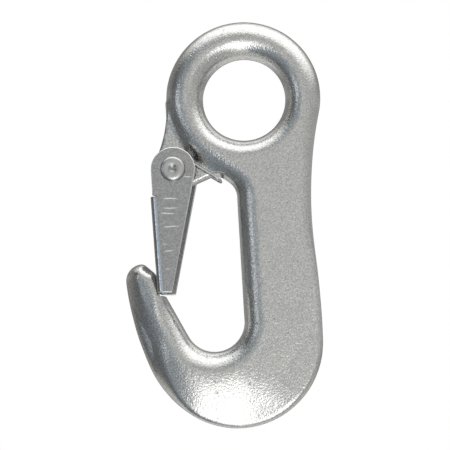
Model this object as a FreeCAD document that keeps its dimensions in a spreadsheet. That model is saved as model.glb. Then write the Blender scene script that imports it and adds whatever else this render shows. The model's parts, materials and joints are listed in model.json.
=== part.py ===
import FreeCAD, Part
import math
import os

import Sketcher

# Forged eye hook with a spring-loaded safety latch, in millimetres.
# The origin is the centre of the eye's hole.  The hook lies in the XZ plane: +Z runs up from the
# bowl to the eye, +X towards the shank's back, and Y is the thickness.

VECTOR = FreeCAD.Vector
ALONG_Y = VECTOR(0, 1, 0)

# name, value, meaning
DIMENSIONS = (
    ("eye_outer_radius", 25.6, "outside of the eye ring"),
    ("eye_outer_z", 0.7, "centre of the ring's outside, above the centre of its hole"),
    ("eye_hole_radius", 13.7, "hole that takes a ring, a shackle or a pin"),
    ("body_thickness", 12.4, "forging across its two faces"),
    ("body_rounding", 4.8, "round along the outline"),
    ("hole_rounding", 4.7, "round at both mouths of the eye's hole"),
    ("waist_radius", 143.0, "hollow in the back below the eye"),
    ("waist_height", -32.0, "height of the waist's centre"),
    ("shank_back_radius", 276.0, "gentle swell of the lower back"),
    ("heel_radius", 28.0, "back of the bowl"),
    ("heel_x", -2.0, "centre of the heel"),
    ("heel_z", -80.2, "centre of the heel"),
    ("belly_radius", 36.0, "underside of the bowl"),
    ("arm_outer_radius", 95.2, "outside of the arm"),
    ("arm_outer_x", 55.75, "centre of the arm's outside"),
    ("arm_outer_z", -48.3, "centre of the arm's outside"),
    ("crown_x", -33.9, "centre of the tip's round end"),
    ("crown_z", -59.8, "centre of the tip's round end"),
    ("tip_inner_slope", 24.7, "inner side of the tip, from the vertical"),
    ("tip_blend_radius", 40.0, "between the tip and the arm, inside"),
    ("arm_inner_slope", 29.8, "inner side of the arm, from the vertical"),
    ("bowl_radius", 9.75, "load-bearing saddle"),
    ("bowl_x", -9.4, "centre of the saddle"),
    ("bowl_z", -73.7, "centre of the saddle"),
    ("shank_inner_slope", 3.3, "inner side of the shank, from the vertical"),
    ("throat_radius", 6.2, "top of the throat"),
    ("throat_z", -32.7, "height of the throat's centre"),
    ("pivot_x", -22.7, "latch pivot"),
    ("pivot_z", -24.0, "latch pivot"),
    ("lug_thickness", 6.0, "thin web that carries the pivot"),
    ("lug_end_radius", 7.6, "round end of the lug"),
    ("lug_end_x", -21.7, "centre of the round end"),
    ("lug_end_z", -22.4, "centre of the round end"),
    ("lug_root_radius", 19.0, "how far the lug reaches into the ring"),
    ("lug_blend_radius", 40.0, "hollow between the eye and the lug"),
    ("lug_corner_x", -9.5, "where the lug's lower edge meets the neck"),
    ("lug_corner_z", -25.3, "where the lug's lower edge meets the neck"),
    ("rivet_radius", 3.0, "rivet shank"),
    ("running_clearance", 0.06, "radial play of the rivet in the lug"),
    ("sheet", 1.3, "latch sheet"),
    ("latch_inside_width", 13.0, "between the two plates"),
    ("bend_radius", 1.9, "outside of the folds"),
    ("ear_radius", 7.25, "round ears about the pivot"),
    ("web_top_x", -30.15, "outer face of the web, upper end"),
    ("web_top_z", -33.0, "upper end of the web"),
    ("web_end_x", -27.73, "outer face of the web, lower end"),
    ("latch_end_z", -64.4, "lower end of the latch"),
    ("latch_tip_x", -22.85, "lower corner of the plates"),
    ("ear_edge_x", -29.4, "front edge of the ears above the web"),
    ("seat_gap", 0.3, "between the closed latch and the hook tip"),
    ("ledge_gap", 0.9, "below the end of the closed latch"),
    ("seat_length", 14.0, "cut of the seat in the tip"),
    ("head_radius", 4.1, "rivet heads"),
    ("head_rim", 0.45, "height of the heads' cylindrical rim"),
    ("head_height", 1.55, "height of the heads"),
    ("head_bulge", 0.42, "how far the heads' dome stands out from a cone"),
    ("dimple_radius", 1.4, "hollow in the middle of the heads"),
    ("dimple_depth", 0.4, "depth of that hollow"),
    ("wire_radius", 0.45, "spring wire"),
    ("coil_radius", 5.2, "middle of the coils' wire"),
    ("coil_pitch", 0.95, "advance of one turn"),
    ("coil_gap", 0.7, "between the lug and the first turn"),
    ("loop_x", -7.5, "spring loop under the neck"),
    ("loop_z", -27.1, "spring loop under the neck"),
    ("loop_corner_radius", 1.3, "bends of the spring loop"),
    ("web_leg_drop", 15.0, "spring leg along the web, below the pivot"),
)

doc = FreeCAD.newDocument("eye_hook")
sheet = doc.addObject("Spreadsheet::Sheet", "Dimensions")
for row, (alias, value, meaning) in enumerate(DIMENSIONS, start=1):
    sheet.set(f"A{row}", alias.replace("_", " "))
    sheet.set(f"B{row}", str(value))
    sheet.set(f"C{row}", meaning)
    sheet.setAlias(f"B{row}", alias)
doc.recompute()


def size(alias):
    return float(sheet.get(alias))


PIVOT = VECTOR(size("pivot_x"), 0, size("pivot_z"))
HALF_BODY = size("body_thickness") / 2
HALF_LUG = size("lug_thickness") / 2
HALF_INSIDE = size("latch_inside_width") / 2
HALF_LATCH = HALF_INSIDE + size("sheet")
SAME_PLACE = 0.001


# ---- plane geometry of the sketches: a point is a vector (x, z, 0) ----

def point(x, z):
    return VECTOR(x, z, 0)


def sheet_point(name):
    return point(size(name + "_x"), size(name + "_z"))


def heading(degrees):
    """Unit vector, counted anticlockwise from +X."""
    angle = math.radians(degrees)
    return point(math.cos(angle), math.sin(angle))


def toward(start, target, distance):
    """The point at a distance from start, on the way to target."""
    way = target - start
    return start + way * (distance / way.Length)


def circles_meet(centre_a, radius_a, centre_b, radius_b, left):
    """Where two circles meet, on the left or right of the way from a to b."""
    way = centre_b - centre_a
    along = (radius_a ** 2 - radius_b ** 2 + way.Length ** 2) / (2 * way.Length)
    aside = math.sqrt(radius_a ** 2 - along ** 2)
    unit = way / way.Length
    normal = point(-unit.y, unit.x) * (1 if left else -1)
    return centre_a + unit * along + normal * aside


def lines_meet(point_a, normal_a, point_b, normal_b):
    """Where two lines meet, each given by a point and its normal."""
    reach_a = point_a.dot(normal_a)
    reach_b = point_b.dot(normal_b)
    determinant = normal_a.x * normal_b.y - normal_a.y * normal_b.x
    x = (reach_a * normal_b.y - reach_b * normal_a.y) / determinant
    z = (normal_a.x * reach_b - normal_b.x * reach_a) / determinant
    return point(x, z)


def angle_of(centre, place):
    return math.atan2(place.y - centre.y, place.x - centre.x)


def line(start, end):
    return Part.LineSegment(start, end)


def arc(centre, start, end, anticlockwise):
    """Arc from start to end about a centre."""
    circle = Part.Circle(centre, VECTOR(0, 0, 1), (start - centre).Length)
    first, last = (start, end) if anticlockwise else (end, start)
    return Part.ArcOfCircle(circle, angle_of(centre, first), angle_of(centre, last))


# ---- document helpers ----

def new_body(label):
    body = doc.addObject("PartDesign::Body", label)
    body.Label = label
    return body


def new_sketch(body, name, role, curves):
    sketch = body.newObject("Sketcher::SketchObject", name)
    plane = [item for item in body.Origin.OriginFeatures if item.Role == role][0]
    sketch.AttachmentSupport = [(plane, "")]
    sketch.MapMode = "FlatFace"
    sketch.addGeometry(curves, False)
    return sketch


def bind_circle(sketch, index, expression):
    """Ties a circle's radius to the sheet."""
    radius = sketch.Geometry[index].Radius
    number = sketch.addConstraint(Sketcher.Constraint("Radius", index, radius))
    sketch.setExpression(f"Constraints[{number}]", expression)


def new_pad(body, name, sketch, expression):
    """Pad that grows to both sides of the hook's middle plane."""
    pad = body.newObject("PartDesign::Pad", name)
    pad.Profile = sketch
    pad.SideType = "Symmetric"
    pad.setExpression("Length", expression)
    doc.recompute()
    return pad


def new_pocket(body, name, sketch, expression):
    """Pocket that cuts to both sides of the middle plane; it has to remove material."""
    volume = body.Tip.Shape.Volume
    pocket = body.newObject("PartDesign::Pocket", name)
    pocket.Profile = sketch
    pocket.SideType = "Symmetric"
    pocket.setExpression("Length", expression)
    doc.recompute()
    if pocket.Shape.Volume >= volume:
        raise RuntimeError(f"{name} cuts nothing")
    return pocket


def new_fillet(body, name, feature, edge_numbers, expression):
    fillet = body.newObject("PartDesign::Fillet", name)
    fillet.Base = (feature, [f"Edge{number}" for number in edge_numbers])
    fillet.setExpression("Radius", expression)
    doc.recompute()
    return fillet


def face_edges(shape, half_thickness, is_hole):
    """Numbers of the edges that bound the two flat faces, of the hole or of the outline."""
    numbers = []
    for number, edge in enumerate(shape.Edges, start=1):
        box = edge.BoundBox
        on_face = abs(abs(box.YMin) - half_thickness) < SAME_PLACE and box.YLength < SAME_PLACE
        whole_circle = isinstance(edge.Curve, Part.Circle) and edge.isClosed()
        if on_face and whole_circle == is_hole:
            numbers.append(number)
    return numbers


# ---- hook body ----

def hook_outline():
    """Tangent arcs and lines, clockwise from the lower left of the eye."""
    eye = point(0, size("eye_outer_z"))
    eye_radius = size("eye_outer_radius")

    waist_radius = size("waist_radius")
    waist_drop = eye.y - size("waist_height")
    waist_reach = math.sqrt((eye_radius + waist_radius) ** 2 - waist_drop ** 2)
    waist = point(waist_reach, size("waist_height"))
    eye_to_waist = toward(eye, waist, eye_radius)

    back_radius = size("shank_back_radius")
    heel = sheet_point("heel")
    heel_radius = size("heel_radius")
    back = circles_meet(waist, waist_radius + back_radius, heel, back_radius - heel_radius, False)
    waist_to_back = toward(waist, back, waist_radius)
    back_to_heel = toward(back, heel, back_radius)

    arm_outer = sheet_point("arm_outer")
    arm_radius = size("arm_outer_radius")
    belly_radius = size("belly_radius")
    belly = circles_meet(heel, belly_radius - heel_radius, arm_outer, arm_radius - belly_radius, True)
    heel_to_belly = toward(belly, heel, belly_radius)
    belly_to_arm = toward(arm_outer, belly, arm_radius)

    crown = sheet_point("crown")
    crown_radius = arm_radius - (arm_outer - crown).Length
    arm_to_crown = toward(arm_outer, crown, arm_radius)
    inner_normal = heading(size("tip_inner_slope"))
    inner_start = crown + inner_normal * crown_radius

    bowl = sheet_point("bowl")
    bowl_radius = size("bowl_radius")
    arm_normal = heading(size("arm_inner_slope"))
    arm_to_bowl = bowl - arm_normal * bowl_radius
    blend_radius = size("tip_blend_radius")
    blend = lines_meet(
        inner_start + inner_normal * blend_radius, inner_normal,
        arm_to_bowl + arm_normal * blend_radius, arm_normal)
    inner_to_blend = blend - inner_normal * blend_radius
    blend_to_arm = blend - arm_normal * blend_radius

    shank_normal = heading(size("shank_inner_slope"))
    shank_way = point(-shank_normal.y, shank_normal.x)
    bowl_to_shank = bowl + shank_normal * bowl_radius
    throat_radius = size("throat_radius")
    throat_foot = bowl + shank_normal * (bowl_radius - throat_radius)
    throat = throat_foot + shank_way * ((size("throat_z") - throat_foot.y) / shank_way.y)
    shank_to_throat = throat + shank_normal * throat_radius

    lean = math.acos((eye_radius + throat_radius) / (throat - eye).Length)
    neck_normal = heading(math.degrees(angle_of(eye, throat) - lean))
    throat_to_neck = throat - neck_normal * throat_radius
    neck_to_eye = eye + neck_normal * eye_radius

    return [
        arc(eye, neck_to_eye, eye_to_waist, False),
        arc(waist, eye_to_waist, waist_to_back, True),
        arc(back, waist_to_back, back_to_heel, False),
        arc(heel, back_to_heel, heel_to_belly, False),
        arc(belly, heel_to_belly, belly_to_arm, False),
        arc(arm_outer, belly_to_arm, arm_to_crown, False),
        arc(crown, arm_to_crown, inner_start, False),
        line(inner_start, inner_to_blend),
        arc(blend, inner_to_blend, blend_to_arm, True),
        line(blend_to_arm, arm_to_bowl),
        arc(bowl, arm_to_bowl, bowl_to_shank, True),
        line(bowl_to_shank, shank_to_throat),
        arc(throat, shank_to_throat, throat_to_neck, True),
        line(throat_to_neck, neck_to_eye),
    ]


def lug_outline():
    """Thin web between the eye and the neck, anticlockwise from the eye."""
    eye = point(0, size("eye_outer_z"))
    eye_radius = size("eye_outer_radius")
    end = sheet_point("lug_end")
    end_radius = size("lug_end_radius")
    hollow_radius = size("lug_blend_radius")
    hollow = circles_meet(eye, eye_radius + hollow_radius, end, end_radius + hollow_radius, False)
    eye_to_hollow = toward(eye, hollow, eye_radius)
    hollow_to_end = toward(hollow, end, hollow_radius)

    corner = sheet_point("lug_corner")
    reach = corner - end
    lean = math.acos(end_radius / reach.Length)
    end_to_edge = end + heading(math.degrees(angle_of(end, corner) - lean)) * end_radius

    root_radius = size("lug_root_radius")
    root_start = toward(eye, corner, root_radius)
    root_end = toward(eye, hollow, root_radius)
    return [
        line(root_end, eye_to_hollow),
        arc(hollow, eye_to_hollow, hollow_to_end, False),
        arc(end, hollow_to_end, end_to_edge, True),
        line(end_to_edge, corner),
        line(corner, root_start),
        arc(eye, root_start, root_end, False),
    ]


def web_line():
    """Upper and lower end of the outer face of the latch's web."""
    return sheet_point("web_top"), point(size("web_end_x"), size("latch_end_z"))


def polygon(corners):
    return [line(start, end) for start, end in zip(corners, corners[1:] + corners[:1])]


def seat_outline():
    """Notch in the inner side of the tip, parallel to the closed latch's web."""
    top, bottom = web_line()
    way = (bottom - top) / (bottom - top).Length
    gap = point(way.y, -way.x) * size("seat_gap")
    ledge_z = size("latch_end_z") - size("ledge_gap")
    seat_bottom = bottom + gap + way * ((ledge_z - bottom.y) / way.y)
    seat_top = seat_bottom - way * size("seat_length")
    clear_x = size("latch_tip_x")
    return polygon([seat_top, seat_bottom, point(clear_x, ledge_z), point(clear_x, seat_top.y)])


def make_hook_body():
    body = new_body("hook_body")
    blank = new_pad(body, "blank", new_sketch(body, "blank_outline", "XZ_Plane", hook_outline()),
                    "Dimensions.body_thickness")
    rounded = new_fillet(body, "outline_round", blank, face_edges(blank.Shape, HALF_BODY, False),
                         "Dimensions.body_rounding")
    hole = [Part.Circle(VECTOR(), VECTOR(0, 0, 1), size("eye_hole_radius"))]
    hole_sketch = new_sketch(body, "eye_circle", "XZ_Plane", hole)
    bind_circle(hole_sketch, 0, "Dimensions.eye_hole_radius")
    eye = new_pocket(body, "eye_hole", hole_sketch, "Dimensions.body_thickness * 2")
    new_fillet(body, "hole_round", eye, face_edges(eye.Shape, HALF_BODY, True),
               "Dimensions.hole_rounding")
    new_pad(body, "lug", new_sketch(body, "lug_outline", "XZ_Plane", lug_outline()),
            "Dimensions.lug_thickness")
    bore_radius = size("rivet_radius") + size("running_clearance")
    bore = [Part.Circle(sheet_point("pivot"), VECTOR(0, 0, 1), bore_radius)]
    bore_sketch = new_sketch(body, "pivot_circle", "XZ_Plane", bore)
    bind_circle(bore_sketch, 0, "Dimensions.rivet_radius + Dimensions.running_clearance")
    new_pocket(body, "pivot_bore", bore_sketch, "Dimensions.body_thickness")
    new_pocket(body, "latch_seat", new_sketch(body, "seat_outline", "XZ_Plane", seat_outline()),
               "Dimensions.body_thickness * 2")
    return body


# ---- latch ----

def plate_outline():
    """Side view of the latch: round ear, tapering plate, and the web's step at the front."""
    pivot = sheet_point("pivot")
    ear_radius = size("ear_radius")
    web_top, web_end = web_line()
    tip = point(size("latch_tip_x"), size("latch_end_z"))
    lean = math.acos(ear_radius / (tip - pivot).Length)
    ear_to_back = pivot + heading(math.degrees(angle_of(pivot, tip) + lean)) * ear_radius
    step = point(size("ear_edge_x"), web_top.y)
    lean = math.acos(ear_radius / (step - pivot).Length)
    ear_to_front = pivot + heading(math.degrees(angle_of(pivot, step) - lean)) * ear_radius
    return [
        arc(pivot, ear_to_back, ear_to_front, True),
        line(ear_to_front, step),
        line(step, web_top),
        line(web_top, web_end),
        line(web_end, tip),
        line(tip, ear_to_back),
    ]


def channel_outline():
    """What is cut out between the plates: all but the web."""
    web_top, web_end = web_line()
    way = (web_end - web_top) / (web_end - web_top).Length
    inner_top = web_top + point(-way.y, way.x) * size("sheet")
    past_end = size("sheet") * 4
    inner_end = inner_top + way * ((web_end.y - past_end - inner_top.y) / way.y)
    inner_top = inner_top + way * ((web_top.y - inner_top.y) / way.y)
    clear = 2 * size("ear_radius")
    left = size("pivot_x") - clear
    right = size("pivot_x") + clear
    top = size("pivot_z") + clear
    return polygon([
        inner_end, inner_top, point(left, web_top.y), point(left, top),
        point(right, top), point(right, inner_end.y)])


def web_edges(shape):
    """Numbers of the two long edges along the outer face of the web."""
    web_top, web_end = web_line()
    middle_x = (web_top.x + web_end.x) / 2
    middle_z = (web_top.y + web_end.y) / 2
    numbers = []
    for number, edge in enumerate(shape.Edges, start=1):
        centre = edge.BoundBox.Center
        near = math.hypot(centre.x - middle_x, centre.z - middle_z) < SAME_PLACE
        if near and edge.Length > (web_end - web_top).Length / 2:
            numbers.append(number)
    return numbers


def make_latch():
    body = new_body("latch")
    block = new_pad(body, "folded_block", new_sketch(body, "plate_outline", "XZ_Plane", plate_outline()),
                    "Dimensions.latch_inside_width + 2 * Dimensions.sheet")
    new_fillet(body, "folds", block, web_edges(block.Shape), "Dimensions.bend_radius")
    channel = new_sketch(body, "channel_outline", "XZ_Plane", channel_outline())
    new_pocket(body, "channel", channel, "Dimensions.latch_inside_width")
    hole = [Part.Circle(sheet_point("pivot"), VECTOR(0, 0, 1), size("rivet_radius"))]
    hole_sketch = new_sketch(body, "rivet_circle", "XZ_Plane", hole)
    bind_circle(hole_sketch, 0, "Dimensions.rivet_radius")
    new_pocket(body, "rivet_holes", hole_sketch, "Dimensions.latch_inside_width * 2")
    return body


# ---- rivet ----

def rivet_profile():
    """Half section in radius and height along Y: a shank between two domed heads with a dimple."""
    shank = size("rivet_radius")
    head = size("head_radius")
    crest = size("dimple_radius")
    depth = size("dimple_depth")
    rim = HALF_LATCH + size("head_rim")
    top = HALF_LATCH + size("head_height")
    ball = (crest ** 2 + depth ** 2) / (2 * depth)
    curves = [
        line(point(shank, HALF_LATCH), point(shank, -HALF_LATCH)),
        line(point(0, depth - top), point(0, top - depth)),
    ]
    for side in (1, -1):
        ball_centre = point(0, side * (top - depth + ball))
        chord = point(head - crest, side * (rim - top))
        outward = point(top - rim, side * (head - crest)) / chord.Length
        crown = point((head + crest) / 2, side * (rim + top) / 2) + outward * size("head_bulge")
        pit = point(0, side * (top - depth))
        curves += [
            arc(ball_centre, pit, point(crest, side * top), side > 0),
            Part.Arc(point(crest, side * top), crown, point(head, side * rim)),
            line(point(head, side * rim), point(head, side * HALF_LATCH)),
            line(point(head, side * HALF_LATCH), point(shank, side * HALF_LATCH)),
        ]
    return curves


def make_pivot_rivet():
    body = new_body("pivot_rivet")
    body.Placement = FreeCAD.Placement(PIVOT, FreeCAD.Rotation())
    sketch = new_sketch(body, "rivet_profile", "XY_Plane", rivet_profile())
    turned = body.newObject("PartDesign::Revolution", "turned_rivet")
    turned.Profile = sketch
    turned.ReferenceAxis = (sketch, ["V_Axis"])
    turned.Angle = 360
    doc.recompute()
    return body


# ---- spring ----

def spring_half():
    """Edges of the near half's middle line: leg on the web, coil, leg to the loop, half the loop."""
    radius = size("coil_radius")
    pitch = size("coil_pitch")
    loop = VECTOR(size("loop_x"), 0, size("loop_z"))
    flat = loop - PIVOT
    leave = math.degrees(math.atan2(flat.z, flat.x) + math.acos(radius / flat.Length))
    turns = (180 - leave) / 360 + 1
    inner_y = HALF_LUG + size("coil_gap") + size("wire_radius")
    start = PIVOT - VECTOR(0, inner_y + pitch * turns, 0)

    helix = Part.makeHelix(pitch, pitch * turns, radius)
    upright = FreeCAD.Rotation(VECTOR(-1, 0, 0), VECTOR(0, 0, 1), ALONG_Y, "XYZ")
    helix.Placement = FreeCAD.Placement(start, upright)
    coil = helix.Edges[0]
    coil_start = coil.valueAt(coil.FirstParameter)
    coil_end = coil.valueAt(coil.LastParameter)
    arriving = coil.tangentAt(coil.FirstParameter)
    leaving = coil.tangentAt(coil.LastParameter)

    web_leg = Part.LineSegment(coil_start - arriving * size("web_leg_drop"), coil_start)
    corner = coil_end + leaving * ((loop.x - coil_end.x) / leaving.x)
    bend = size("loop_corner_radius")
    half_turn = leaving.getAngle(ALONG_Y) / 2
    before = corner - leaving * bend * math.tan(half_turn)
    after = corner + ALONG_Y * bend * math.tan(half_turn)
    inward = (ALONG_Y - leaving) / (ALONG_Y - leaving).Length
    middle = corner + inward * bend * (1 / math.cos(half_turn) - 1)
    return [
        web_leg.toShape(),
        coil,
        Part.LineSegment(coil_end, before).toShape(),
        Part.Arc(before, middle, after).toShape(),
        Part.LineSegment(after, VECTOR(after.x, 0, after.z)).toShape(),
    ]


def make_latch_spring():
    near = spring_half()
    far = [edge.mirror(VECTOR(), ALONG_Y) for edge in reversed(near)]
    path = Part.Wire(near + far)
    leg = near[0]
    circle = Part.Circle(leg.Vertexes[0].Point, leg.tangentAt(leg.FirstParameter), size("wire_radius"))
    wire = path.makePipeShell([Part.Wire([circle.toShape()])], True, True, 1)
    expected = math.pi * size("wire_radius") ** 2 * path.Length
    allowed_share = 0.02
    if abs(wire.Volume / expected - 1) > allowed_share:
        raise RuntimeError(f"the spring holds {wire.Volume:.1f} mm3 instead of {expected:.1f}")
    spring = doc.addObject("Part::Feature", "latch_spring")
    spring.Label = "latch_spring"
    spring.Shape = wire
    return spring


pieces = [make_hook_body(), make_latch(), make_pivot_rivet(), make_latch_spring()]
doc.recompute()

for item in doc.Objects:
    if "Invalid" in item.State or "Error" in item.State:
        raise RuntimeError(f"{item.Label} did not compute: {item.State}")
for piece in pieces:
    if piece.Shape.isNull() or not piece.Shape.isValid():
        raise RuntimeError(f"{piece.Label} has no valid shape")

os.makedirs("parts", exist_ok=True)
for piece in pieces:
    piece.Shape.exportStep(f"parts/{piece.Label}.step")
    box = piece.Shape.BoundBox
    print(f"{piece.Label}: {piece.Shape.Volume:.0f} mm3, {len(piece.Shape.Solids)} solid,"
          f" x {box.XMin:.2f} {box.XMax:.2f}, y {box.YMin:.2f} {box.YMax:.2f},"
          f" z {box.ZMin:.2f} {box.ZMax:.2f}")
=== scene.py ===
import json
import math

import bmesh
import bpy
import numpy as np
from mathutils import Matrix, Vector


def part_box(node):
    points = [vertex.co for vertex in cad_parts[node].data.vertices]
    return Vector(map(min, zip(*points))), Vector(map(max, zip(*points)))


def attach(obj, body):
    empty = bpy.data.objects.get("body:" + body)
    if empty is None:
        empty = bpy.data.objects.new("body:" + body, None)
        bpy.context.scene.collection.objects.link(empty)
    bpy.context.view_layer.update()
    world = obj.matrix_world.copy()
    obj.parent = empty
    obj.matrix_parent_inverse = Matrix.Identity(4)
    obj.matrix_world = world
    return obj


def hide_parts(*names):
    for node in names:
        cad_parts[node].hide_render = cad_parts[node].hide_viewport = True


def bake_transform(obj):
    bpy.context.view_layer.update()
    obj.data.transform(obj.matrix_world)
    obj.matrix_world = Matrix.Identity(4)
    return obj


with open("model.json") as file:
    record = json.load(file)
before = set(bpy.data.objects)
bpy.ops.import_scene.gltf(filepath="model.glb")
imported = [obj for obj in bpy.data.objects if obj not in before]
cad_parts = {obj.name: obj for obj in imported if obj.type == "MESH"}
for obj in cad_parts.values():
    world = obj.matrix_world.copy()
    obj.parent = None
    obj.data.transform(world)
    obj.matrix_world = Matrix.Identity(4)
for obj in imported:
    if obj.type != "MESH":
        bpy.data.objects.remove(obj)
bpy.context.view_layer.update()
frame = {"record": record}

MM = 0.001

# The frame's own places, in millimetres in the hook's plane: a point is the complex number x + iz.
HINGE = next(joint for joint in frame["record"]["behaviour"]["joints"] if joint["name"] == "latch_pivot")
EYE_MOUNT = next(mount for mount in frame["record"]["mounts"] if mount["name"] == "eye_bore")
PIVOT = complex(HINGE["pos_m"][0], HINGE["pos_m"][2]) / MM
HOLE_RADIUS = EYE_MOUNT["dims"]["r_mm"]
BODY_LOW, BODY_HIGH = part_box("hook_body")
LATCH_LOW, LATCH_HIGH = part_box("latch")
RIVET_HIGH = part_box("pivot_rivet")[1]
HALF_BODY = BODY_HIGH[1] / MM
HALF_LATCH = LATCH_HIGH[1] / MM

# radii of the lug's bore and of the rivet in it, half of the lug's thickness, and the cell size of the
# grid that the forging's surface is found on
RIVET_BORE, RIVET_RADIUS, LUG_HALF = 3.15, 3.0, 3.0
FORGING_CELL = 0.6

# the latch's sheet: thickness, outer radius of its folds, step above the web, facets round a fold,
# and the material slot of its bevelled edges
SHEET, FOLD_RADIUS, FOLD_RELIEF, FOLD_STEPS = 1.3, 1.9, 0.3, 10
EDGE_SLOT = 1

# the camera, in degrees and metres, and the floor's own light
CAMERA_AZIMUTH, CAMERA_ELEVATION, CAMERA_DISTANCE = 3.0, -6.0, 0.5
FLOOR_GLOW = 0.6

# The latch's web: its outer face in the hook's plane, and the seat cut for it in the tip.
LATCH_END = LATCH_LOW[2] / MM
WEB_TOP = complex(-30.15, -33.0)
WEB_END = complex(-27.73, LATCH_END)
WEB_WAY = (WEB_END - WEB_TOP) / abs(WEB_END - WEB_TOP)
SEAT_GAP, LEDGE_GAP, SEAT_TOP, SEAT_END = 0.3, 0.9, -50.0, -18.0
SEAT_FOOT = WEB_END - 1j * WEB_WAY * SEAT_GAP + WEB_WAY * LEDGE_GAP


# ---------------------------------------------------------------- plane outlines

def smooth(low, high, value):
    """0 below low, 1 above high, and an even turn between; low may be the larger one."""
    share = np.clip((value - low) / (high - low), 0, 1)
    return share * share * (3 - 2 * share)


def mix(first, second, share):
    return first + (second - first) * share


def heading(degrees):
    return complex(math.cos(math.radians(degrees)), math.sin(math.radians(degrees)))


def toward(start, target, distance):
    return start + (target - start) / abs(target - start) * distance


def circles_meet(centre_a, radius_a, centre_b, radius_b, side):
    """Where two circles meet, left (1) or right (-1) of the way from a to b."""
    way = centre_b - centre_a
    along = (radius_a ** 2 - radius_b ** 2 + abs(way) ** 2) / (2 * abs(way))
    aside = math.sqrt(radius_a ** 2 - along ** 2)
    return centre_a + way / abs(way) * complex(along, side * aside)


def lines_meet(point_a, normal_a, point_b, normal_b):
    """Where two lines meet, each given by a point and its normal."""
    reach_a = (point_a * normal_a.conjugate()).real
    reach_b = (point_b * normal_b.conjugate()).real
    determinant = (normal_a.conjugate() * normal_b).imag
    return complex(reach_a * normal_b.imag - reach_b * normal_a.imag,
                   normal_a.real * reach_b - normal_b.real * reach_a) / determinant


class Arc:
    """Round stretch of an outline; solid is True where the material lies inside the circle."""

    def __init__(self, centre, start, end, solid):
        self.centre, self.solid = centre, 1 if solid else -1
        self.start, self.end = start, end
        self.radius = abs(start - centre)

    def depth(self, points):
        """Signed distance inside the material, and the plain distance to the stretch."""
        away = points - self.centre
        inside = self.solid * (self.radius - abs(away))
        first, last = self.start - self.centre, self.end - self.centre
        sweep = np.mod(np.angle(away / first) * -self.solid, 2 * math.pi)
        span = np.mod(np.angle(last / first) * -self.solid, 2 * math.pi)
        reach = np.minimum(abs(points - self.start), abs(points - self.end))
        return inside, np.where(sweep <= span, abs(inside), reach)


class Line:
    """Straight stretch of an outline, with the material on the right of the way from start to end."""

    def __init__(self, start, end):
        self.start, self.end = start, end

    def depth(self, points):
        way = (self.end - self.start) / abs(self.end - self.start)
        local = (points - self.start) / way
        beyond = np.maximum(np.maximum(-local.real, local.real - abs(self.end - self.start)), 0)
        return -local.imag, np.hypot(local.imag, beyond)


def depth_in(chain, points):
    """Signed distance from the nearest stretch of a chain, positive in the material."""
    best = np.full(points.shape, 1e9)
    signed = np.zeros(points.shape)
    for stretch in chain:
        inside, distance = stretch.depth(points)
        nearer = distance < best
        best = np.where(nearer, distance, best)
        signed = np.where(nearer, np.where(inside < 0, -distance, distance), signed)
    return signed


EYE = 0.7j
EYE_RADIUS = 25.6


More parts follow.
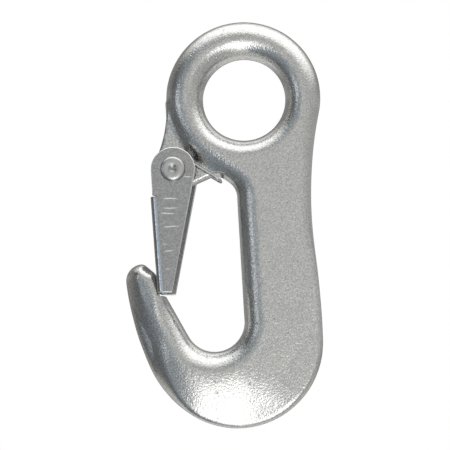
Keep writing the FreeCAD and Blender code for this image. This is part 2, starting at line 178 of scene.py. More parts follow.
def hook_chains():
    """Outer and inner stretches of the forging's outline, clockwise."""
    waist_radius, waist_z = 143.0, -32.0
    waist = complex(math.sqrt((EYE_RADIUS + waist_radius) ** 2 - (EYE.imag - waist_z) ** 2), waist_z)
    heel, heel_radius = complex(-2.0, -80.2), 28.0
    back_radius = 276.0
    back = circles_meet(waist, waist_radius + back_radius, heel, back_radius - heel_radius, -1)
    arm, arm_radius = complex(55.75, -48.3), 95.2
    belly_radius = 36.0
    belly = circles_meet(heel, belly_radius - heel_radius, arm, arm_radius - belly_radius, 1)
    crown = complex(-33.1, -60.2)
    crown_radius = arm_radius - abs(arm - crown)

    # the top of the tip is a tighter round, then a slanted flank and a shoulder
    nose_radius, nose_way = 2.6, heading(100)
    nose = crown + nose_way * (crown_radius - nose_radius)
    flank_normal, inner_normal = heading(50), heading(24.7)
    flank_start = nose + flank_normal * nose_radius
    shoulder_radius = 5.0
    seat_corner = complex(-25.8, -64.6)
    shoulder = lines_meet(flank_start - flank_normal * shoulder_radius, flank_normal,
                          seat_corner - inner_normal * shoulder_radius, inner_normal)
    inner_start = shoulder + inner_normal * shoulder_radius

    bowl, bowl_radius = complex(-9.4, -73.7), 9.75
    arm_normal = heading(29.8)
    arm_to_bowl = bowl - arm_normal * bowl_radius
    blend_radius = 40.0
    blend = lines_meet(inner_start + inner_normal * blend_radius, inner_normal,
                       arm_to_bowl + arm_normal * blend_radius, arm_normal)
    inner_to_blend = blend - inner_normal * blend_radius
    blend_to_arm = blend - arm_normal * blend_radius

    shank_normal = heading(3.3)
    bowl_to_shank = bowl + shank_normal * bowl_radius
    throat_radius, throat_z = 6.2, -32.7
    foot = bowl + shank_normal * (bowl_radius - throat_radius)
    shank_way = shank_normal * 1j
    throat = foot + shank_way * ((throat_z - foot.imag) / shank_way.imag)
    shank_to_throat = throat + shank_normal * throat_radius
    lean = math.acos((EYE_RADIUS + throat_radius) / abs(throat - EYE))
    neck_normal = (throat - EYE) / abs(throat - EYE) * complex(math.cos(lean), -math.sin(lean))
    throat_to_neck = throat - neck_normal * throat_radius
    neck_to_eye = EYE + neck_normal * EYE_RADIUS

    eye_to_waist = toward(EYE, waist, EYE_RADIUS)
    waist_to_back = toward(waist, back, waist_radius)
    back_to_heel = toward(back, heel, back_radius)
    heel_to_belly = toward(belly, heel, belly_radius)
    belly_to_arm = toward(arm, belly, arm_radius)
    arm_to_crown = toward(arm, crown, arm_radius)
    crown_to_nose = crown + nose_way * crown_radius
    flank_end = shoulder + flank_normal * shoulder_radius
    outer = [
        Arc(EYE, neck_to_eye, eye_to_waist, True),
        Arc(waist, eye_to_waist, waist_to_back, False),
        Arc(back, waist_to_back, back_to_heel, True),
        Arc(heel, back_to_heel, heel_to_belly, True),
        Arc(belly, heel_to_belly, belly_to_arm, True),
        Arc(arm, belly_to_arm, arm_to_crown, True),
        Arc(crown, arm_to_crown, crown_to_nose, True),
        Arc(nose, crown_to_nose, flank_start, True),
        Line(flank_start, flank_end),
    ]
    inner = [
        Arc(shoulder, flank_end, inner_start, True),
        Line(inner_start, inner_to_blend),
        Arc(blend, inner_to_blend, blend_to_arm, False),
        Line(blend_to_arm, arm_to_bowl),
        Arc(bowl, arm_to_bowl, bowl_to_shank, False),
        Line(bowl_to_shank, shank_to_throat),
        Arc(throat, shank_to_throat, throat_to_neck, False),
        Line(throat_to_neck, neck_to_eye),
    ]
    return outer, inner


def lug_chain():
    """Outside of the thin web at the lower left of the eye, clockwise, from inside the neck to the eye."""
    end, end_radius = complex(-21.7, -22.4), 7.6
    hollow_radius = 40.0
    hollow = circles_meet(EYE, EYE_RADIUS + hollow_radius, end, end_radius + hollow_radius, -1)
    eye_to_hollow = toward(EYE, hollow, EYE_RADIUS)
    hollow_to_end = toward(hollow, end, hollow_radius)
    corner = complex(-9.5, -25.3)
    reach = corner - end
    lean = math.acos(end_radius / abs(reach))
    end_to_edge = end + reach / abs(reach) * complex(math.cos(lean), -math.sin(lean)) * end_radius
    within_neck = toward(corner, 2 * corner - end_to_edge, 6)
    return [
        Line(within_neck, end_to_edge),
        Arc(end, end_to_edge, hollow_to_end, True),
        Arc(hollow, hollow_to_end, eye_to_hollow, False),
    ]


OUTER, INNER = hook_chains()
LUG = lug_chain()
BOWL = complex(-9.4, -74.0)
HOLE_CENTRE = complex(0.3, 0)
LUG_ROOT = 19.0
LUG_MIDDLE, LUG_REACH = complex(-17, -17), 18.0


# ---------------------------------------------------------------- forging as an implicit surface

def rounded(depth, radius, height, half):
    """Field of a plate of some half thickness whose edge, at depth 0, is rounded over to a radius;
    a large radius becomes the quarter of an ellipse."""
    corner = mix(np.minimum(radius, half), half, smooth(2.0, 5.0, radius))
    rise = np.maximum((height - (half - corner)) / corner, 0)
    return (np.hypot(rise, np.maximum(1 - depth / radius, 0)) - 1) * corner


def forging(x, y, z):
    """Below zero inside the forging.  Millimetres; near the surface it grows about as fast as distance."""
    points = x + 1j * z
    outer = depth_in(OUTER, points)
    inner = depth_in(INNER, points)
    width = abs(outer) + abs(inner)
    nearer_outer = abs(outer) <= abs(inner)
    outer, inner = np.where(nearer_outer, outer, abs(outer)), np.where(nearer_outer, abs(inner), inner)
    height = abs(y)

    # the way round the bowl: 0 straight down, -90 at its left and in the arm, 90 in the shank
    aside = np.where(x < BOWL.real, -90, 90)
    around = np.where(z > BOWL.imag, aside, np.degrees(np.angle((points - BOWL) * 1j)))
    below = smooth(-46, -50, z)
    arm = smooth(-8, -80, around) * below

    # rounding along the outline: full at the eye and in the arm, slight along the lower back
    back_round = mix(mix(6.0, 3.2, smooth(2, -26, z) * smooth(-6, 8, x)), 1.6, smooth(-40, -62, z))
    flank = smooth(-37, -27, x) * smooth(-72, -60, z)
    outer_round = mix(back_round, mix(np.maximum(width * 0.55, 4.5), 2.6, flank), arm)
    arm_round = mix(np.maximum(width * 0.5, 4.5), 2.6, smooth(-74, -63, z))
    inner_round = mix(mix(6.0, 7.0, smooth(-24, -36, z)), arm_round, arm)

    # the arm thins towards the tip, and from a crest near the bowl the face falls to the outside
    crest = mix(HALF_BODY, 5.9, smooth(-88, -60, z) * smooth(-14, -22, x))
    past_crest = np.logaddexp(0, (inner - mix(7.8, 2.8, arm)) * 1.2) / 1.2
    fall = mix(0.052, 0.13, arm) * smooth(50, 12, around) * below
    half = np.maximum(crest - fall * past_crest ** 1.4, 3.5)

    # trimmed flash stands along the parting plane, and the walls have some draft
    flash = 0.1 * smooth(1.1, 0.7, height) - 0.1 - 0.02 * height
    body = np.maximum(rounded(outer + flash, outer_round, height, half),
                      rounded(inner + flash, inner_round, height, half))
    hole = abs(points - HOLE_CENTRE) - HOLE_RADIUS
    hole_round = mix(6.0, 5.4, smooth(-10, -20, z))
    body = np.maximum(body, rounded(hole + flash, hole_round, height, half))

    # the lug, blended into the eye and more softly into the neck
    lug_round = 0.8
    lug_depth = np.minimum(depth_in(LUG, points) - 0.05 * height, abs(points - EYE) - LUG_ROOT)
    lug_depth = np.minimum(lug_depth, LUG_REACH - abs(points - LUG_MIDDLE))
    lug = rounded(lug_depth, lug_round, height, LUG_HALF)
    fillet = mix(mix(1.6, 4.0, smooth(-22, -15, x)), 3.0, smooth(-20, -24, z))
    near = np.maximum(fillet - abs(body - lug), 0) / fillet
    solid = np.minimum(body, lug) - near ** 2 * fillet / 4

    # hammer-scale waviness of the skin
    wave = np.sin(x / 2.9 + 1.3 * np.sin(z / 5.1)) * np.sin(z / 3.7 + y / 4.3 + 0.8 * np.sin(x / 4.7))
    return solid + 0.02 * wave


def hook_body_field(x, y, z):
    """The forging with its bore for the rivet and the seat for the latch's end."""
    points = x + 1j * z
    bore = RIVET_BORE - abs(points - PIVOT)
    aside = ((points - SEAT_FOOT) / WEB_WAY).imag
    seat = np.minimum(np.minimum(aside, z - SEAT_FOOT.imag), np.minimum(SEAT_TOP - z, SEAT_END - x))
    return np.maximum(np.maximum(forging(x, y, z), bore), seat)


# ---------------------------------------------------------------- surface from a field

def dual_contour(field, low, high, cell):
    """Closed quad mesh of field = 0, one vertex for each cell that the surface crosses, which keeps
    sharp edges sharp."""
    axes = [np.arange(low[i] - 2 * cell, high[i] + 3 * cell, cell) for i in range(3)]
    grid = np.meshgrid(*axes, indexing="ij")
    values = field(*grid)
    inside = values < 0
    shape = np.array(values.shape)

    hits, normals, cells, quads = [], [], [], []
    steps = np.eye(3, dtype=int)
    small = cell * 0.02
    for axis in range(3):
        first = tuple(slice(0, -1) if i == axis else slice(None) for i in range(3))
        last = tuple(slice(1, None) if i == axis else slice(None) for i in range(3))
        crossed = np.argwhere(inside[first] != inside[last])
        start = values[tuple(crossed.T)]
        end = values[tuple((crossed + steps[axis]).T)]
        share = start / (start - end)
        origin = np.stack([axes[i][crossed[:, i]] for i in range(3)], axis=1)
        near, far = np.zeros(len(crossed)), np.ones(len(crossed))
        for _ in range(6):
            point = origin + steps[axis] * cell * share[:, None]
            value = field(*point.T)
            same = (value < 0) == (start < 0)
            near, far = np.where(same, share, near), np.where(same, far, share)
            share = (near + far) / 2
        point = origin + steps[axis] * cell * share[:, None]
        slope = np.stack([field(*(point + steps[i] * small).T) - field(*(point - steps[i] * small).T)
                          for i in range(3)], axis=1)
        slope /= np.linalg.norm(slope, axis=1)[:, None] + 1e-12
        side_a, side_b = steps[(axis + 1) % 3], steps[(axis + 2) % 3]
        around = np.stack([crossed, crossed - side_a, crossed - side_a - side_b, crossed - side_b], axis=1)
        flip = start < 0
        around[~flip] = around[~flip][:, ::-1]
        quads.append(around)
        for corner in range(4):
            hits.append(point)
            normals.append(slope)
            cells.append(around[:, corner])
    hits, normals, cells = np.concatenate(hits), np.concatenate(normals), np.concatenate(cells)
    quads = np.concatenate(quads)
    keys, index = np.unique(np.ravel_multi_index(cells.T, shape), return_inverse=True)
    count = len(keys)

    centre = np.zeros((count, 3))
    np.add.at(centre, index, hits)
    number = np.bincount(index, minlength=count)
    centre /= number[:, None]
    offset = np.einsum("ij,ij->i", normals, hits - centre[index])
    square = np.zeros((count, 3, 3))
    np.add.at(square, index, normals[:, :, None] * normals[:, None, :])
    pull = np.zeros((count, 3))
    np.add.at(pull, index, normals * offset[:, None])
    move = np.linalg.solve(square + 0.06 * np.eye(3), pull[:, :, None])[:, :, 0]
    move = np.clip(move, -cell, cell)
    faces = np.searchsorted(keys, np.ravel_multi_index(quads.reshape(-1, 3).T, shape)).reshape(-1, 4)
    return centre + move, faces


def mesh_object(name, points, faces, sharp_degrees=40):
    """Blender object in metres from points in millimetres, smooth but for its sharp edges."""
    mesh = bpy.data.meshes.new(name)
    mesh.from_pydata((np.asarray(points) * MM).tolist(), [], [list(map(int, face)) for face in faces])
    mesh.validate()
    mesh.shade_smooth()
    mesh.set_sharp_from_angle(angle=math.radians(sharp_degrees))
    piece = bpy.data.objects.new(name, mesh)
    bpy.context.scene.collection.objects.link(piece)
    return piece


def make_forging():
    low, high = np.array(BODY_LOW) / MM, np.array(BODY_HIGH) / MM
    points, faces = dual_contour(hook_body_field, low, high, FORGING_CELL)
    piece = mesh_object("forged_hook", points, faces)
    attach(piece, "hook")
    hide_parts("hook_body")
    return piece


# ---------------------------------------------------------------- latch, folded from one sheet

def latch_plate():
    """Side view of one plate, anticlockwise from the back of the ear, with the fold last."""
    ear_radius = 7.25
    tip = complex(-22.85, LATCH_END)
    lean = math.acos(ear_radius / abs(tip - PIVOT))
    back = np.angle(tip - PIVOT) + lean
    step = complex(-29.4, WEB_TOP.imag + FOLD_RELIEF)
    lean = math.acos(ear_radius / abs(step - PIVOT))
    front = np.angle(step - PIVOT) - lean
    front += 2 * math.pi if front < back else 0
    ear = [PIVOT + ear_radius * np.exp(1j * angle) for angle in np.linspace(back, front, 61)]
    fold_x = FOLD_RADIUS / abs(WEB_WAY.imag)
    return ear + [step, complex(WEB_TOP.real + fold_x, step.imag), WEB_TOP + fold_x, WEB_END + fold_x, tip]


def make_latch():
    shape = bmesh.new()

    def vertex(point, y):
        return shape.verts.new((point.real * MM, y * MM, point.imag * MM))

    def wall(first, second, index, after):
        """Face between the same stretch of two outlines."""
        shape.faces.new((first[index], first[after], second[after], second[index]))

    plate = latch_plate()
    hole = [PIVOT + RIVET_RADIUS * heading(angle) for angle in range(0, 360, 10)]
    layers = []
    for layer in range(2):
        inset = layer * SHEET
        half = HALF_LATCH - inset
        radius = FOLD_RADIUS - inset
        near = [vertex(point, -half) for point in plate]
        far = [vertex(point, half) for point in plate]
        near_hole = [vertex(point, -half) for point in hole]
        far_hole = [vertex(point, half) for point in hole]
        section = []
        for step in range(1, FOLD_STEPS + 1):
            turn = math.pi / 2 * step / FOLD_STEPS
            section.append((FOLD_RADIUS - radius * math.sin(turn), radius * (1 - math.cos(turn)) - half))
        section += [(across, -y) for across, y in reversed(section)]
        rows = []
        for end, row_ends in ((WEB_TOP, (near[-3], far[-3])), (WEB_END, (near[-2], far[-2]))):
            middle = [vertex(end + across / abs(WEB_WAY.imag), y) for across, y in section]
            rows.append([row_ends[0]] + middle + [row_ends[1]])
        for outline, ring in ((near, near_hole), (far, far_hole)):
            edges = [shape.edges.new((a, b)) for a, b in zip(outline, outline[1:] + outline[:1])]
            edges += [shape.edges.new((a, b)) for a, b in zip(ring, ring[1:] + ring[:1])]
            bmesh.ops.triangle_fill(shape, edges=edges, use_beauty=True)
        for column in range(len(section) + 1):
            shape.faces.new((rows[0][column], rows[1][column], rows[1][column + 1], rows[0][column + 1]))
        layers.append((near, far, near_hole, far_hole, rows))

    outer, inner = layers
    for side in range(2):
        fold_edge = len(plate) - 3
        for index in range(len(plate)):
            if index != fold_edge:
                wall(outer[side], inner[side], index, (index + 1) % len(plate))
    for ring in (2, 3):
        for index in range(len(hole)):
            wall(outer[ring], inner[ring], index, (index + 1) % len(hole))
    for row in range(2):
        for column in range(len(outer[4][0]) - 1):
            shape.faces.new((outer[4][row][column], outer[4][row][column + 1],
                             inner[4][row][column + 1], inner[4][row][column]))
    bmesh.ops.recalc_face_normals(shape, faces=shape.faces)
    mesh = bpy.data.meshes.new("folded_latch")
    shape.to_mesh(mesh)
    shape.free()
    piece = bpy.data.objects.new("folded_latch", mesh)
    bpy.context.scene.collection.objects.link(piece)
    mesh.materials.append(metal("plated_sheet", sheet_look))
    mesh.materials.append(metal("worn_and_highlit_edge", edge_look))
    bevel(piece, 0.28, 35)
    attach(piece, "latch")
    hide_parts("latch")
    return piece


def bevel(piece, width, degrees):
    """Round the piece's edges that turn by more than some degrees, for good; flat faces stay flat."""
    piece.data.shade_smooth()
    modifier = piece.modifiers.new("edges", "BEVEL")
    modifier.width = width * MM
    modifier.segments = 3
    modifier.limit_method = "ANGLE"
    modifier.angle_limit = math.radians(degrees)
    modifier.use_clamp_overlap = False
    modifier.harden_normals = True
    modifier.material = EDGE_SLOT
    graph = bpy.context.evaluated_depsgraph_get()
    mesh = bpy.data.meshes.new_from_object(piece.evaluated_get(graph))
    piece.modifiers.clear()
    piece.data = mesh


# ---------------------------------------------------------------- rivet

def make_rivet():
    """Turned about the pivot: a shank, and two domed heads with a dimple."""
    rim, top = HALF_LATCH + 0.45, RIVET_HIGH[1] / MM
    head, lip = 4.1, 1.4
    depth = 0.4
    profile = [(0, top - depth)]
    ball = (lip ** 2 + depth ** 2) / (2 * depth)
    for step in range(1, 9):
        across = lip * 0.9 * step / 8
        profile.append((across, top - depth + ball - math.sqrt(ball ** 2 - across ** 2)))
    dome = [complex(lip * 0.9, profile[-1][1]), complex(lip, top - 0.05), complex(lip + 0.28, top),
            complex((head + lip) / 2 + 0.75, (rim + top) / 2 + 0.45), complex(head - 0.12, rim + 0.16),
            complex(head, rim - 0.12)]
    for first, last, steps in ((0, 2, 6), (2, 4, 14), (4, 5, 3)):
        knots = dome[first:last + 1]
        for step in range(1, steps + 1):
            share = step / steps
            if len(knots) == 3:
                bend = 2 * knots[1] - (knots[0] + knots[2]) / 2
                point = (knots[0] * (1 - share) ** 2 + 2 * bend * share * (1 - share)
                         + knots[2] * share ** 2)
            else:
                point = knots[0] + (knots[1] - knots[0]) * share
            profile.append((point.real, point.imag))
    profile += [(head, HALF_LATCH + 0.04), (head - 0.05, HALF_LATCH), (RIVET_RADIUS, HALF_LATCH)]
    profile += [(radius, -height) for radius, height in reversed(profile)]

    around = 96
    points, faces = [], []
    for radius, height in profile[1:-1]:
        for step in range(around):
            place = PIVOT + radius * np.exp(2j * math.pi * step / around)
            points.append((place.real, height, place.imag))
    rings = len(profile) - 2
    for ring in range(rings - 1):
        for step in range(around):
            after = (step + 1) % around
            faces.append((ring * around + step, ring * around + after,
                          (ring + 1) * around + after, (ring + 1) * around + step))
    for ring, height, turn in ((0, profile[0][1], -1), (rings - 1, profile[-1][1], 1)):
        centre = len(points)
        points.append((PIVOT.real, height, PIVOT.imag))
        for step in range(around):
            after = (step + 1) % around
            faces.append((ring * around + step, ring * around + after, centre)[::turn])
    piece = mesh_object("pivot_rivet_turned", points, faces)
    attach(piece, "latch")
    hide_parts("pivot_rivet")
    return piece


# ---------------------------------------------------------------- spring

def make_spring():
    """Double torsion spring: a leg on the web, a coil round the rivet, and a loop under the neck."""
    wire, radius, pitch, coil_gap = 0.45, 5.2, 0.95, 0.7
    inner_y = LUG_HALF + coil_gap + wire
    loop = complex(-7.5, -27.1)
    reach = loop - PIVOT
    leave = np.angle(reach) + math.acos(radius / abs(reach))
    turns = (math.pi - leave) / (2 * math.pi) + 1
    start_y = -(inner_y + pitch * turns)

    def coil(angle):
        around = PIVOT - radius * np.exp(-1j * angle)
        return np.array([around.real, start_y + pitch * angle / (2 * math.pi), around.imag])

    def coil_way(angle):
        way = np.array([radius * math.sin(angle), pitch / (2 * math.pi), radius * math.cos(angle)])
        return way / np.linalg.norm(way)

    drop, bend = 15.0, 1.3
    path = [coil(0) - coil_way(0) * drop * share for share in np.linspace(1, 0, 8)]
    path += [coil(angle) for angle in np.linspace(0, 2 * math.pi * turns, 84)[1:]]
    leaving = coil_way(2 * math.pi * turns)
    corner = path[-1] + leaving * (loop.real - path[-1][0]) / leaving[0]
    along = np.array([0.0, 1.0, 0.0])
    half_turn = math.acos(leaving @ along) / 2
    before = corner - leaving * bend * math.tan(half_turn)
    after = corner + along * bend * math.tan(half_turn)
    inward = (along - leaving) / np.linalg.norm(along - leaving)
    centre = corner + inward * bend / math.cos(half_turn)
    path += [mix(path[-1], before, share) for share in np.linspace(0, 1, 6)[1:]]
    for share in np.linspace(0, 1, 9)[1:]:
        spoke = (before - centre) * math.sin((1 - share) * 2 * half_turn)
        spoke += (after - centre) * math.sin(share * 2 * half_turn)
        path.append(centre + spoke / math.sin(2 * half_turn))
    path += [mix(after, np.array([after[0], 0, after[2]]), share) for share in (0.5, 1)]
    path += [point * (1, -1, 1) for point in reversed(path[:-1])]
    path = np.array(path)

    ways = np.gradient(path, axis=0)
    ways /= np.linalg.norm(ways, axis=1)[:, None]
    sides = 14
    points, faces = [], []
    frame_up = np.cross(ways[0], (0.0, 1.0, 0.0))
    for place, way in zip(path, ways):
        frame_up = frame_up - way * (frame_up @ way)
        frame_up /= np.linalg.norm(frame_up)
        across = np.cross(way, frame_up)
        for side in range(sides):
            angle = 2 * math.pi * side / sides
            points.append(place + wire * (frame_up * math.cos(angle) + across * math.sin(angle)))
    for ring in range(len(path) - 1):
        for side in range(sides):
            after = (side + 1) % sides
            faces.append((ring * sides + side, ring * sides + after,
                          (ring + 1) * sides + after, (ring + 1) * sides + side))
    for ring, way in ((0, -ways[0]), (len(path) - 1, ways[-1])):
        rim = [points[ring * sides + side] for side in range(sides)]
        first = len(points)
        points += [place_on_end(point, path[ring], way, wire) for point in rim]
        for side in range(sides):
            after = (side + 1) % sides
            quad = (ring * sides + after, ring * sides + side, first + side, first + after)
            faces.append(quad if ring == 0 else quad[::-1])
        cap = tuple(first + side for side in range(sides))
        faces.append(cap[::-1] if ring == 0 else cap)
    piece = mesh_object("latch_torsion_spring", points, faces)
    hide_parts("latch_spring")
    axis = complex(-2.37, -2.37)
    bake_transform(piece)
    return piece


def place_on_end(point, middle, way, wire):
    """A point of the wire's chamfered end."""
    return middle + (point - middle) * 0.75 + way * wire * 0.25


# ---------------------------------------------------------------- materials

class Nodes:
    """A material's nodes, by short calls."""

    def __init__(self, tree):
        self.tree = tree

    def add(self, kind, inputs=(), **settings):
        node = self.tree.nodes.new(kind)
        for name, value in settings.items():
            setattr(node, name, value)
        for name, value in dict(inputs).items():
            if isinstance(value, bpy.types.NodeSocket):
                self.tree.links.new(value, node.inputs[name])
            else:
                node.inputs[name].default_value = value
        return node

    def noise(self, vector, scale, detail=2.0, roughness=0.5):
        node = self.add("ShaderNodeTexNoise",
                        {"Vector": vector, "Scale": scale, "Detail": detail, "Roughness": roughness})
        return node.outputs["Factor"] if "Factor" in node.outputs else node.outputs["Fac"]

    def remap(self, value, low, high, to_low=0.0, to_high=1.0):
        return self.add("ShaderNodeMapRange",
                        {"Value": value, "From Min": low, "From Max": high,
                         "To Min": to_low, "To Max": to_high}).outputs["Result"]

    def math(self, operation, first, second=0.0):
        return self.add("ShaderNodeMath", {0: first, 1: second}, operation=operation).outputs[0]

    def blend(self, share, first, second):
        node = self.add("ShaderNodeMix", data_type="RGBA")
        for socket, value in ((node.inputs[0], share), (node.inputs[6], first), (node.inputs[7], second)):
            if isinstance(value, bpy.types.NodeSocket):
                self.tree.links.new(value, socket)
            else:
                socket.default_value = value
        return node.outputs[2]

    def bump(self, height, distance, strength, normal=None):
        inputs = {"Height": height, "Distance": distance, "Strength": strength}
        if normal is not None:
            inputs["Normal"] = normal
        return self.add("ShaderNodeBump", inputs).outputs["Normal"]


def metal(name, build):
    """A metal whose colour, roughness and normal come from build(nodes, place)."""
    material = bpy.data.materials.new(name)
    material.use_nodes = True
    nodes = Nodes(material.node_tree)
    shader = material.node_tree.nodes["Principled BSDF"]
    shader.inputs["Metallic"].default_value = 1.0
    place = nodes.add("ShaderNodeTexCoord").outputs["Object"]
    colour, roughness, normal = build(nodes, place)
    for socket, value in (("Base Color", colour), ("Roughness", roughness), ("Normal", normal)):
        material.node_tree.links.new(value, shader.inputs[socket])
    return material


def forged_look(nodes, place):
    """Blasted and zinc plated: warm grey with even grain, a few pits and faint blue clouds."""
    clouds = nodes.noise(place, 75, 3)
    tint = nodes.noise(place, 190, 2)
    grain = nodes.noise(place, 1700, 2, 0.6)
    speckle = nodes.noise(place, 1900, 1)
    waves = nodes.noise(place, 420, 2)
    pits = nodes.math("MULTIPLY", nodes.remap(nodes.noise(place, 640, 1), 0.68, 0.74),
                      nodes.remap(nodes.noise(place, 90, 1), 0.48, 0.58))
    base = nodes.blend(nodes.remap(clouds, 0.35, 0.65), (0.735, 0.73, 0.70, 1), (0.765, 0.755, 0.725, 1))
    base = nodes.blend(nodes.remap(tint, 0.58, 0.72, 0, 0.35), base, (0.62, 0.65, 0.69, 1))
    base = nodes.blend(nodes.remap(speckle, 0.38, 0.62), base, (0.555, 0.56, 0.545, 1))
    base = nodes.blend(nodes.math("MULTIPLY", pits, 0.5), base, (0.30, 0.30, 0.29, 1))
    roughness = nodes.remap(grain, 0.3, 0.7, 0.15, 0.22)
    normal = nodes.bump(waves, 0.0001, 0.12)
    normal = nodes.bump(grain, 0.00009, 1.0, normal)
    normal = nodes.bump(pits, -0.0001, 0.6, normal)
    return base, roughness, normal


# Height, left end and right end of the scratches across the latch, in millimetres.
SCRATCHES = (
    (-26.9, -19.4, -15.9), (-33.7, -26.0, -20.6), (-36.8, -26.0, -20.8), (-38.6, -26.8, -21.6),
    (-41.9, -26.4, -25.0), (-43.1, -25.8, -20.0), (-48.5, -26.0, -24.0), (-50.8, -25.5, -21.8),
    (-56.8, -25.2, -23.2),
)


def sheet_look(nodes, place):
    """Smooth plated sheet: short scratches across the plates, a painted bluish highlight by the fold, and
    painted shade on the inner faces.
    """
    clouds = nodes.noise(place, 110, 3)
    grain = nodes.noise(place, 2100, 2, 0.6)
    bend = nodes.remap(nodes.noise(place, 160, 1), 0, 1, -0.0007, 0.0007)
    split = nodes.add("ShaderNodeSeparateXYZ", {"Vector": place})
    x, z = split.outputs["X"], nodes.math("ADD", split.outputs["Z"], bend)
    scratches = 0.0
    for height, left, right in SCRATCHES:
        off = nodes.math("ABSOLUTE", nodes.math("SUBTRACT", z, height * MM))
        thin = nodes.remap(off, 0.00026, 0.0001)
        ends = nodes.math("MULTIPLY", nodes.remap(x, left * MM, (left + 0.9) * MM),
                          nodes.remap(x, right * MM, (right - 1.8) * MM))
        scratches = nodes.math("MAXIMUM", scratches, nodes.math("MULTIPLY", thin, ends))
    base = nodes.blend(nodes.remap(clouds, 0.35, 0.65), (0.48, 0.48, 0.475, 1), (0.515, 0.51, 0.50, 1))
    base = nodes.blend(nodes.remap(grain, 0.42, 0.6), base, (0.37, 0.375, 0.375, 1))
    base = nodes.blend(scratches, base, (0.98, 0.98, 0.97, 1))
    # painted highlight: a bluish light band on the plates along the fold, where the bend catches the light
    along_x = nodes.math("MULTIPLY", nodes.math("SUBTRACT", x, WEB_TOP.real * MM), -WEB_WAY.imag)
    along_z = nodes.math("MULTIPLY", nodes.math("SUBTRACT", z, WEB_TOP.imag * MM), WEB_WAY.real)
    from_web = nodes.math("ADD", along_x, along_z)
    fold = nodes.math("MULTIPLY", nodes.remap(from_web, 0.0008, 0.0011),
                      nodes.remap(from_web, 0.0021, 0.0017))
    fold = nodes.math("MULTIPLY", fold, nodes.remap(z, (WEB_TOP.imag + 1) * MM, WEB_TOP.imag * MM))
    base = nodes.blend(nodes.math("MULTIPLY", fold, 0.8), base, (0.80, 0.89, 0.96, 1))
    # painted shade: the inner faces between the plates are darkened (and made rougher), for the shade inside
    # the channel
    inside = nodes.remap(nodes.math("ABSOLUTE", split.outputs["Y"]), (HALF_LATCH - SHEET + 0.1) * MM,
                         (HALF_LATCH - SHEET) * MM)
    base = nodes.blend(nodes.math("MULTIPLY", inside, 0.3), base, (0.30, 0.30, 0.29, 1))
    roughness = nodes.remap(grain, 0.3, 0.7, 0.14, 0.19)
    roughness = nodes.math("ADD", roughness, nodes.math("MULTIPLY", inside, 0.4))
    normal = nodes.bump(grain, 0.00005, 1.0)
    normal = nodes.bump(scratches, -0.00003, 0.5, normal)
    return base, roughness, normal


def edge_look(nodes, place):
    """Edges of the sheet, painted bright as wear and as the highlight along their bevels, but with painted
    shade in the notch above the web.
    """
    grain = nodes.noise(place, 1500, 2, 0.6)
    split = nodes.add("ShaderNodeSeparateXYZ", {"Vector": place})
    # painted shade: the edges inside the relief notch above the web are darkened
    off = nodes.math("ABSOLUTE", nodes.math("SUBTRACT", split.outputs["Z"], WEB_TOP.imag * MM))
    notch = nodes.math("MULTIPLY", nodes.remap(off, 0.0011, 0.0008),
                       nodes.remap(split.outputs["X"], (WEB_TOP.real + 2.6) * MM, (WEB_TOP.real + 2.2) * MM))
    # edges painted near white: wear, and painted highlight along the bevels
    base = nodes.blend(nodes.remap(grain, 0.35, 0.65), (0.86, 0.86, 0.84, 1), (0.95, 0.95, 0.93, 1))
    base = nodes.blend(notch, base, (0.20, 0.20, 0.195, 1))
    return base, nodes.remap(grain, 0.3, 0.7, 0.24, 0.32), nodes.bump(grain, 0.00002, 0.5)


def rivet_look(nodes, place):
    """Pressed rivet head: plated, slightly rough, with painted shade in its dimple and painted shadow round
    its rim.
    """
    clouds = nodes.noise(place, 500, 3)
    grain = nodes.noise(place, 2300, 2, 0.6)
    split = nodes.add("ShaderNodeSeparateXYZ", {"Vector": place})
    side = nodes.math("SUBTRACT", split.outputs["X"], PIVOT.real * MM)
    rise = nodes.math("SUBTRACT", split.outputs["Z"], PIVOT.imag * MM)
    radius = nodes.math("SQRT", nodes.math("ADD", nodes.math("MULTIPLY", side, side),
                                           nodes.math("MULTIPLY", rise, rise)))
    # painted shade in the dimple and painted shadow round the rim of the head, by distance from the pivot
    dimple_rim_shade = nodes.math("MAXIMUM", nodes.remap(radius, 0.0016, 0.0012), nodes.remap(radius, 0.0037, 0.0040))
    base = nodes.blend(nodes.remap(clouds, 0.35, 0.65), (0.54, 0.54, 0.53, 1), (0.62, 0.615, 0.6, 1))
    base = nodes.blend(nodes.math("MULTIPLY", dimple_rim_shade, 0.6), base, (0.26, 0.26, 0.25, 1))
    roughness = nodes.remap(clouds, 0.3, 0.7, 0.24, 0.34)
    return base, roughness, nodes.bump(grain, 0.00003, 0.6)


def wire_look(nodes, place):
    """Drawn spring wire."""
    clouds = nodes.noise(place, 600, 2)
    grain = nodes.noise(place, 3000, 2)
    base = nodes.blend(nodes.remap(clouds, 0.35, 0.65), (0.50, 0.51, 0.51, 1), (0.60, 0.60, 0.59, 1))
    roughness = nodes.remap(grain, 0.3, 0.7, 0.22, 0.32)
    return base, roughness, nodes.bump(grain, 0.00002, 0.5)


# ---------------------------------------------------------------- studio

# direction round the studio from the front, -Y (degrees, below zero to the left), brightness, blueness
SKY_RING = (
    (-180, 0.40, 0.0), (-140, 0.42, 0.0), (-104, 0.38, -0.03), (-88, 0.24, 0.0), (-70, 0.19, 0.06),
    (-52, 0.38, 0.12), (-30, 0.46, 0.11), (-16, 0.62, 0.03), (-5, 0.78, 0.0), (12, 0.81, 0.0),
    (60, 0.78, 0.0), (90, 0.95, 0.0), (120, 0.80, 0.0), (150, 0.55, 0.0), (179, 0.4, 0.0),
)
# how the walls dim upwards and downwards: heights (z of the direction) from and to, then brightness
SKY_DIM, SKY_SINK = (0.15, 0.25, 1.0, 0.68), (-0.05, 0.13, 0.74, 1.0)
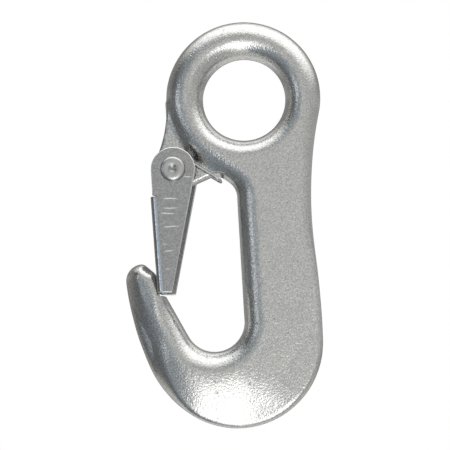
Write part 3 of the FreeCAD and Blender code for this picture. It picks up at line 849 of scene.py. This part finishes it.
# the thin strip at the left, between two azimuths in radians, about a height
STRIP_LEFT, STRIP_RIGHT, SKY_STRIP = (-0.92, -0.84), (-0.70, -0.78), 1.5
STRIP_MIDDLE, STRIP_HEIGHT = 0.08, (0.20, 0.11)
# the wide light above, which leans to the right and stops behind the hook
SKY_LEAN, SKY_RISE, SKY_BEHIND, SKY_TOP = 0.18, (0.45, 0.85), (0.85, 0.2), 1.7
# the soft light low in front
LOW_START, LOW_STOP, SKY_LOW = (-0.13, -0.32), (-1.08, -0.72), 2.6
LOW_LEFT, LOW_RIGHT = (-0.28, -0.12), (0.42, 0.14)
# what comes back from the floor behind the hook
BOUNCE_BELOW, BOUNCE_BEHIND, SKY_BOUNCE = (-0.2, -0.6), (-0.2, 0.4), 0.75


def make_floor():
    """Pale floor, well below the hanging hook."""
    size = 6.0
    depth = -0.42
    mesh = bpy.data.meshes.new("floor")
    mesh.from_pydata([(-size, -size, depth), (size, -size, depth), (size, size, depth), (-size, size, depth)],
                     [], [(0, 1, 2, 3)])
    floor = bpy.data.objects.new("floor", mesh)
    bpy.context.scene.collection.objects.link(floor)
    material = bpy.data.materials.new("pale_floor")
    material.use_nodes = True
    nodes = Nodes(material.node_tree)
    shader = material.node_tree.nodes["Principled BSDF"]
    place = nodes.add("ShaderNodeTexCoord").outputs["Object"]
    tone = nodes.blend(nodes.noise(place, 3, 2), (0.88, 0.88, 0.87, 1), (0.92, 0.92, 0.92, 1))
    material.node_tree.links.new(tone, shader.inputs["Base Color"])
    shader.inputs["Roughness"].default_value = 0.9
    shader.inputs["Emission Color"].default_value = (1, 1, 1, 1)
    shader.inputs["Emission Strength"].default_value = FLOOR_GLOW
    mesh.materials.append(material)
    floor.visible_glossy = False


def make_sky():
    """Studio round the hook: a wide soft light above, a soft light low in front, and grey walls
    with a dark flag and a thin strip at the left."""
    world = bpy.data.worlds.new("studio")
    bpy.context.scene.world = world
    world.use_nodes = True
    nodes = Nodes(world.node_tree)
    background = world.node_tree.nodes["Background"]
    way = nodes.add("ShaderNodeTexCoord").outputs["Generated"]
    split = nodes.add("ShaderNodeSeparateXYZ", {"Vector": way})
    x, y, z = (split.outputs[name] for name in "XYZ")
    azimuth = nodes.math("ARCTAN2", x, nodes.math("MULTIPLY", y, -1.0))
    ring = nodes.add("ShaderNodeValToRGB", {"Fac": nodes.remap(azimuth, -math.pi, math.pi)})
    stops = ring.color_ramp.elements
    while len(stops) > 1:
        stops.remove(stops[0])
    for index, (degrees, grey, blue) in enumerate(SKY_RING):
        stop = stops[0] if index == 0 else stops.new(0.5)
        stop.position = (degrees + 180) / 360
        stop.color = (grey * (1 - blue), grey, grey * (1 + blue), 1)

    dim = nodes.math("MULTIPLY", nodes.remap(z, *SKY_DIM), nodes.remap(z, *SKY_SINK))
    walls = nodes.blend(dim, (0, 0, 0, 1), ring.outputs["Color"])
    strip = nodes.math("MULTIPLY", nodes.remap(azimuth, *STRIP_LEFT), nodes.remap(azimuth, *STRIP_RIGHT))
    off = nodes.math("ABSOLUTE", nodes.math("SUBTRACT", z, STRIP_MIDDLE))
    strip = nodes.math("MULTIPLY", strip, nodes.remap(off, *STRIP_HEIGHT))
    walls = nodes.blend(strip, walls, (SKY_STRIP, SKY_STRIP, SKY_STRIP * 1.04, 1))
    lean = nodes.math("ADD", z, nodes.math("MULTIPLY", x, SKY_LEAN))
    rise = nodes.math("MULTIPLY", nodes.remap(lean, *SKY_RISE), nodes.remap(y, *SKY_BEHIND))
    above = nodes.blend(rise, walls, (SKY_TOP, SKY_TOP, SKY_TOP, 1))
    low = nodes.math("MULTIPLY", nodes.remap(z, *LOW_START), nodes.remap(z, *LOW_STOP))
    side = nodes.math("MULTIPLY", nodes.remap(azimuth, *LOW_LEFT), nodes.remap(azimuth, *LOW_RIGHT))
    bounce = nodes.math("MULTIPLY", nodes.remap(z, *BOUNCE_BELOW), nodes.remap(y, *BOUNCE_BEHIND))
    above = nodes.blend(bounce, above, (SKY_BOUNCE, SKY_BOUNCE, SKY_BOUNCE, 1))
    lit = nodes.blend(nodes.math("MULTIPLY", low, side), above, (SKY_LOW, SKY_LOW, SKY_LOW, 1))
    seen = nodes.add("ShaderNodeLightPath").outputs["Is Camera Ray"]
    shown = nodes.blend(seen, lit, (1.0, 1.0, 1.0, 1))
    world.node_tree.links.new(shown, background.inputs["Color"])


def make_camera():
    target = Vector((-0.00604, 0, -0.0417))
    azimuth, elevation = math.radians(CAMERA_AZIMUTH), math.radians(CAMERA_ELEVATION)
    way = Vector((math.sin(azimuth) * math.cos(elevation), -math.cos(azimuth) * math.cos(elevation),
                  math.sin(elevation)))
    data = bpy.data.cameras.new("camera")
    data.sensor_width = 36
    frame_width = 0.1485
    data.lens = data.sensor_width * CAMERA_DISTANCE / frame_width
    data.clip_start = 0.01
    data.clip_end = 50
    camera = bpy.data.objects.new("camera", data)
    camera.location = target + way * CAMERA_DISTANCE
    camera.rotation_euler = (-way).to_track_quat("-Z", "Y").to_euler()
    bpy.context.scene.collection.objects.link(camera)
    bpy.context.scene.camera = camera


body = make_forging()
make_latch()
rivet = make_rivet()
spring = make_spring()
for piece, name, look in ((body, "blasted_zinc", forged_look), (rivet, "plated_rivet", rivet_look),
                          (spring, "spring_wire", wire_look)):
    piece.data.materials.append(metal(name, look))

make_floor()
make_sky()
make_camera()
bpy.context.scene.view_settings.view_transform = "Standard"
